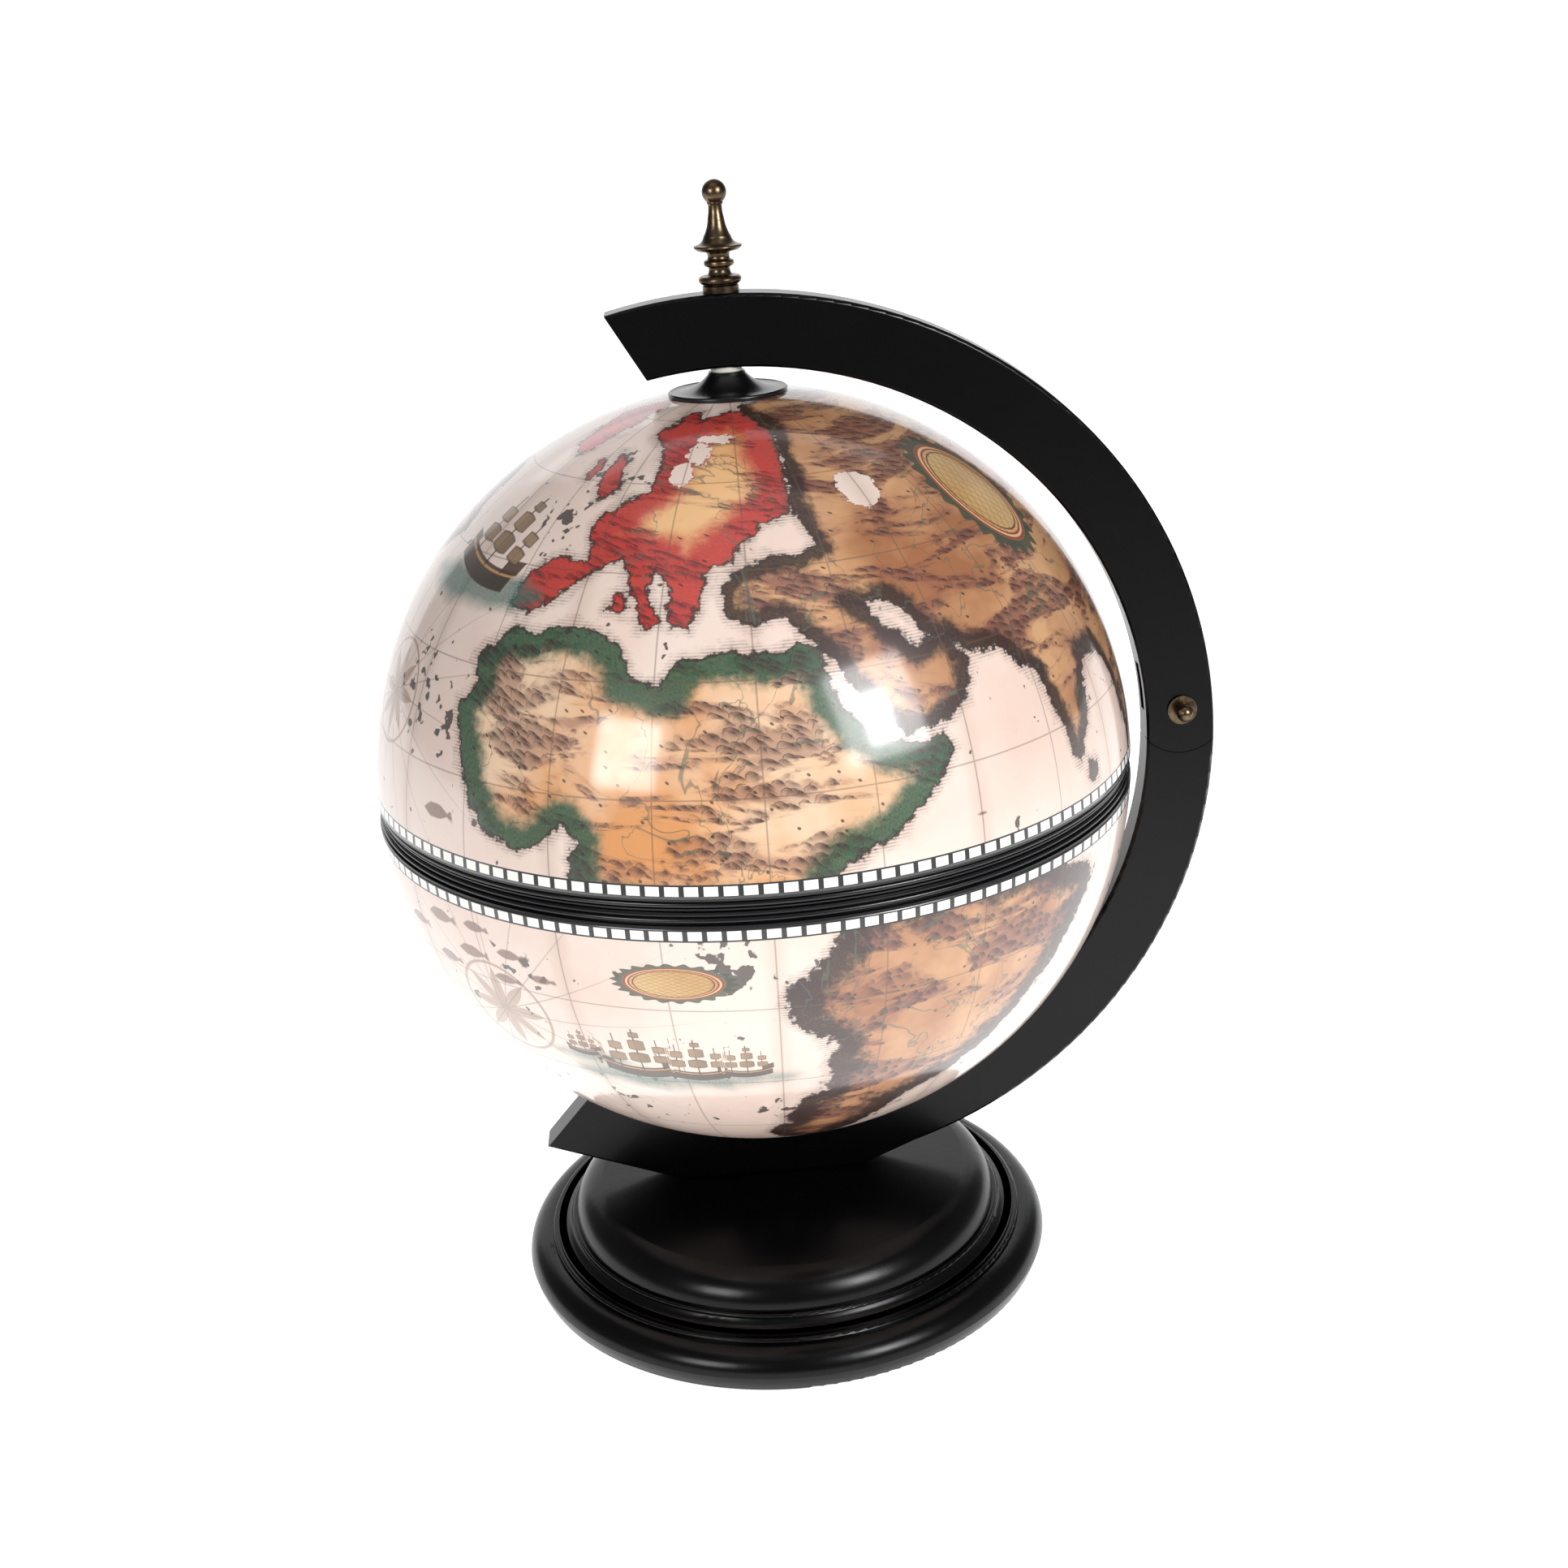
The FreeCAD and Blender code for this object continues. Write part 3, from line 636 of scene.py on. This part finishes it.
# cream with pinkish stains, darker towards the edges of the twelve gores, under a fine graticule
def printSea(tree, fields):
    stain = noiseNode(tree, fields["fromCentre"], 11.0, 5.0, roughness=0.6)
    colour = mixNode(tree, spanNode(tree, stain, 0.42, 0.72, 0.0, 0.75), inks["sea"], inks["seaStain"])
    goreTone = spanNode(tree, fields["goreWidth"], 0.0, 2.2, 0.3, 0.0)
    colour = mixNode(tree, goreTone, colour, inks["seaShade"])
    return mixNode(tree, fields["graticule"], colour, inks["line"])


# rhumb lines from each rose, a sixteen-pointed star whose outline pulls in between the points, and a ring
def printRoses(tree, colour):
    reach, bearing = polar(tree, "rose")[2:]
    rayGap = multiply(tree, mathNode(tree, "PINGPONG", bearing, math.pi / 16), reach)
    rhumb = spanNode(tree, rayGap, 0.006, 0.02, 0.45, 0.0)
    rhumb = multiply(tree, rhumb, spanNode(tree, reach, 1.0, 4.5, 1.0, 0.0))
    colour = mixNode(tree, rhumb, colour, inks["line"])
    point = mathNode(tree, "PINGPONG", bearing, math.pi / 8)
    starEdge = spanNode(tree, point, 0.0, math.pi / 8, 0.92, 0.28)
    star = spanNode(tree, mathNode(tree, "SUBTRACT", starEdge, reach), -0.01, 0.03, 0.0, 0.6)
    ringGap = sizeOf(tree, mathNode(tree, "SUBTRACT", reach, 1.0))
    ring = spanNode(tree, ringGap, 0.015, 0.045, 0.7, 0.0)
    return mixNode(tree, mathNode(tree, "MAXIMUM", star, ring), colour, inks["rose"])


# islets of 2 to 4 mm in the specked areas
def printIslets(tree, fields, colour):
    grains = noiseNode(tree, fields["fromCentre"], 170.0, 2.0)
    share = spanNode(tree, layerNode(tree, "speckArea"), 0.0, 4.0, 0.0, 0.13)
    islets = spanNode(tree, mathNode(tree, "ADD", grains, share), 0.7, 0.73, 0.0, 0.9)
    return mixNode(tree, islets, colour, inks["islet"])


# engraved hills in chains: rows of small mounds, each 6 mm wide, shaded on the eastern flank
def hillLayers(tree, fields):
    flat = fields["flat"]
    stretched = vectorNode(tree, "MULTIPLY", flat, (0.075, 0.2, 1.0))
    chains = noiseNode(tree, stretched, 1.0, 4.0, roughness=0.55, distortion=0.7)
    jitter = noiseNode(tree, flat, 1.1, 2.0, out="Color")
    tiles = vectorNode(tree, "ADD", flat, vectorNode(tree, "MULTIPLY", jitter, (0.5, 0.5, 0.0)))
    mounds = []
    for tileWidth, tileHeight, shift in hillTiles:
        moved = vectorNode(tree, "ADD", tiles, shift)
        scaled = vectorNode(tree, "MULTIPLY", moved, (1 / tileWidth, 1 / tileHeight, 1.0))
        cell = addNode(tree, "TexVoronoi", {"Vector": scaled, "Scale": 1.0, "Randomness": 0.65}, out="Position",
                       voronoi_dimensions="2D")
        offset = vectorNode(tree, "SUBTRACT", scaled, cell)
        across, up = (addNode(tree, "SeparateXYZ", {0: offset}, out=k) for k in range(2))
        crest = mathNode(tree, "MULTIPLY_ADD", multiply(tree, across, across), -2.4, 0.42)
        under = mathNode(tree, "SUBTRACT", crest, up)
        flank = spanNode(tree, across, -0.2, 0.22, 0.2)
        edge = spanNode(tree, under, 0.03, 0.16, 1.0, 0.0)
        tone = multiply(tree, mathNode(tree, "MAXIMUM", flank, edge), spanNode(tree, up, -0.45, 0.1))
        mounds.append(multiply(tree, tone, spanNode(tree, under, -0.02, 0.05)))
    hills = mathNode(tree, "MAXIMUM", *mounds)
    hills = multiply(tree, hills, spanNode(tree, chains, 0.49, 0.525))
    return multiply(tree, hills, fields["strokeMask"]), spanNode(tree, chains, 0.46, 0.58, 0.0, 0.9)


# tinted coasts, soil, hills and rivers of the three kinds of land
def printLand(tree, fields, colour):
    hills, wash = hillLayers(tree, fields)
    # rivers about 0.7 mm wide, small settlements, and lakes that the coasts go round
    rivers = noiseNode(tree, fields["fromCentre"], 24.0, 4.0, distortion=0.8)
    riverGap = sizeOf(tree, mathNode(tree, "SUBTRACT", rivers, 0.5))
    river = spanNode(tree, riverGap, 0.002, 0.006, 0.6, 0.0)
    townCell = addNode(tree, "TexVoronoi", {"Vector": fields["flat"], "Scale": 0.2, "Randomness": 1.0},
                       out="Distance", voronoi_dimensions="2D")
    town = spanNode(tree, townCell, 0.035, 0.055, 0.85, 0.0)
    lakeDepth = mathNode(tree, "ADD", layerNode(tree, "lake"), fields["wander"])
    lakeLoss = spanNode(tree, lakeDepth, -0.2, 1.2, 0.0, 60.0)
    rimStroke = spanNode(tree, fields["strokes"], 0.35, 0.65, 0.86)
    comb = spanNode(tree, mathNode(tree, "PINGPONG", fields["latitude"], 0.22), 0.06, 0.14, 1.0, 0.25)

    for name, (edge, inside, pale, hillAmount, edgeWidth, washAmount) in landInks.items():
        depth = mathNode(tree, "ADD", layerNode(tree, name), fields["wander"])
        depth = mathNode(tree, "SUBTRACT", depth, lakeLoss)
        # fine ink hatching on the sea along the coast, running east and west
        hatch = multiply(tree, spanNode(tree, depth, -1.6, 0.0, 0.0, 0.75), comb)
        colour = mixNode(tree, hatch, colour, inks["line"])
        soil = mixNode(tree, fields["patchTone"], inside, pale)
        soil = mixNode(tree, multiply(tree, wash, washAmount), soil, inks["hillWash"])
        rim = spanNode(tree, depth, 0.45 * edgeWidth, edgeWidth, 1.0, 0.0, interpolation_type="SMOOTHSTEP")
        soil = mixNode(tree, multiply(tree, rim, rimStroke), soil, edge)
        soil = mixNode(tree, multiply(tree, hills, hillAmount), soil, inks["hill"])
        soil = mixNode(tree, river, soil, inks["river"])
        soil = mixNode(tree, town, soil, inks["coast"])
        soil = mixNode(tree, fields["graticule"], soil, inks["line"])
        colour = mixNode(tree, spanNode(tree, depth, -0.1, 0.1), colour, soil)
        shore = spanNode(tree, sizeOf(tree, depth), 0.1, 0.34, 0.9, 0.0)
        colour = mixNode(tree, shore, colour, inks["coast"])
    return colour


# teal water under the ships, and fish
def printWater(tree, fields, colour):
    teal = mathNode(tree, "ADD", layerNode(tree, "tealWater"), fields["bayShift"])
    tealMask = multiply(tree, spanNode(tree, teal, -1.0, 1.3, 0.0, 0.85), fields["strokeMask"])
    colour = mixNode(tree, tealMask, colour, inks["teal"])
    fishMask = spanNode(tree, layerNode(tree, "fishDrawing"), -0.1, 0.12, 0.0, 0.8)
    return mixNode(tree, fishMask, colour, inks["fish"])


# hull, masts and billowing sails, each a soft-edged block in the ship's own measure
def printShips(tree, colour):
    east, north = layerNode(tree, "shipEast"), layerNode(tree, "shipNorth")
    rib = multiply(tree, mathNode(tree, "SINE", multiply(tree, east, 6.0)), 0.3)
    sheer = mathNode(tree, "MULTIPLY_ADD", multiply(tree, east, east), -0.22, north)
    for centreEast, centreNorth, halfWide, halfTall, ink, strength, bent in shipBlocks:
        across = sizeOf(tree, mathNode(tree, "SUBTRACT", east, centreEast))
        upward = sizeOf(tree, mathNode(tree, "SUBTRACT", sheer if bent else north, centreNorth))
        gapAcross = mathNode(tree, "SUBTRACT", halfWide, across)
        gapUp = mathNode(tree, "MULTIPLY_ADD", upward, -1.0, halfTall)
        inside = mathNode(tree, "MINIMUM", gapAcross, gapUp)
        if halfWide > sailWidth and not bent:
            # a sail's sides draw in towards its middle height
            inside = mathNode(tree, "MULTIPLY_ADD", multiply(tree, across, across), -0.9, inside)
            outline = spanNode(tree, inside, 0.0, 0.05, 1.0, 0.0)
            ink = mixNode(tree, mathNode(tree, "MAXIMUM", outline, rib), ink, inks["cloth"])
        colour = mixNode(tree, spanNode(tree, inside, -0.008, 0.012, 0.0, strength), colour, ink)
    return colour


# a scalloped leaf border, a double red frame and a latticed field
def printMedallions(tree, fields, colour):
    east, north, reach, bearing = polar(tree, "panel")
    leaf = mathNode(tree, "SINE", multiply(tree, bearing, 22.0))
    leafReach = mathNode(tree, "MULTIPLY_ADD", leaf, 0.07, reach)
    leafReach = mathNode(tree, "MULTIPLY_ADD", fields["creekShift"], 0.03, leafReach)
    leafTone = mixNode(tree, fields["strokeMask"], inks["leaf"], inks["leafDark"])
    colour = mixNode(tree, spanNode(tree, leafReach, 1.17, 1.2, 0.92, 0.0), colour, leafTone)
    slants = [mathNode(tree, "PINGPONG", mathNode(tree, way, east, north), 0.11) for way in ("ADD", "SUBTRACT")]
    lattice = spanNode(tree, mathNode(tree, "MINIMUM", *slants), 0.006, 0.02, 0.6, 0.0)
    fill = mixNode(tree, fields["patchTone"], inks["field"], inks["fieldPale"])
    fill = mixNode(tree, lattice, fill, inks["lattice"])
    for near, far, ink in medallionBands:
        fromMiddle = sizeOf(tree, mathNode(tree, "SUBTRACT", reach, 0.5 * (near + far)))
        halfBand = 0.5 * (far - near)
        fill = mixNode(tree, spanNode(tree, fromMiddle, halfBand, halfBand + 0.012, 0.95, 0.0), fill, ink)
    return mixNode(tree, spanNode(tree, reach, 0.985, 1.0, 1.0, 0.0), colour, fill)


# a black band at the rim with white squares 5.5 by 3.7 mm
def printBorder(tree, fields, colour):
    soften = border["soften"]
    band = spanNode(tree, fields["height"], border["bandTop"] - soften, border["bandTop"] + soften, 1.0, 0.0)
    colour = mixNode(tree, band, colour, inks["band"])
    squareTurn = mathNode(tree, "PINGPONG", multiply(tree, fields["azimuth"], border["squares"] / 360), 0.5)
    across = spanNode(tree, squareTurn, *border["squareShare"], 1.0, 0.0)
    fromMiddle = sizeOf(tree, mathNode(tree, "SUBTRACT", fields["height"], border["squareMiddle"]))
    half = border["squareHalf"]
    upright = spanNode(tree, fromMiddle, half - soften, half + soften, 1.0, 0.0)
    return mixNode(tree, multiply(tree, across, upright), colour, inks["square"])


def varnishedMap():
    # offset-printed paper gores under gloss varnish: aged cream sea, tinted coasts, engraved hills, soft clear coat
    material, tree = newMaterial("varnishedPrintedPaper")
    fields = mapFields(tree)
    colour = printSea(tree, fields)
    colour = printRoses(tree, colour)
    colour = printIslets(tree, fields, colour)
    colour = printLand(tree, fields, colour)
    colour = printWater(tree, fields, colour)
    colour = printShips(tree, colour)
    colour = printMedallions(tree, fields, colour)
    colour = printBorder(tree, fields, colour)
    # glued seams between the gores stand up a little under the varnish
    seam = spanNode(tree, fields["goreWidth"], 0.0, 0.25, 1.0, 0.0)
    ripple = noiseNode(tree, fields["fromCentre"], 30.0, 2.0)
    relief = mathNode(tree, "MULTIPLY_ADD", seam, 0.25, ripple)
    finishMaterial(tree, {
        "Base Color": colour, "Roughness": 0.45, "IOR": 1.5, "Coat Weight": 1.0, "Coat Roughness": 0.11,
        "Normal": bumpNode(tree, relief, 0.12, 0.0006),
    })
    return material


paper = varnishedMap()
for half in ("upper", "lower"):
    sheet = paperSheet(half, mapSheets[half])
    sheet.data.materials.append(paper)
    print(half, "map printed:", len(sheet.data.polygons), "faces")
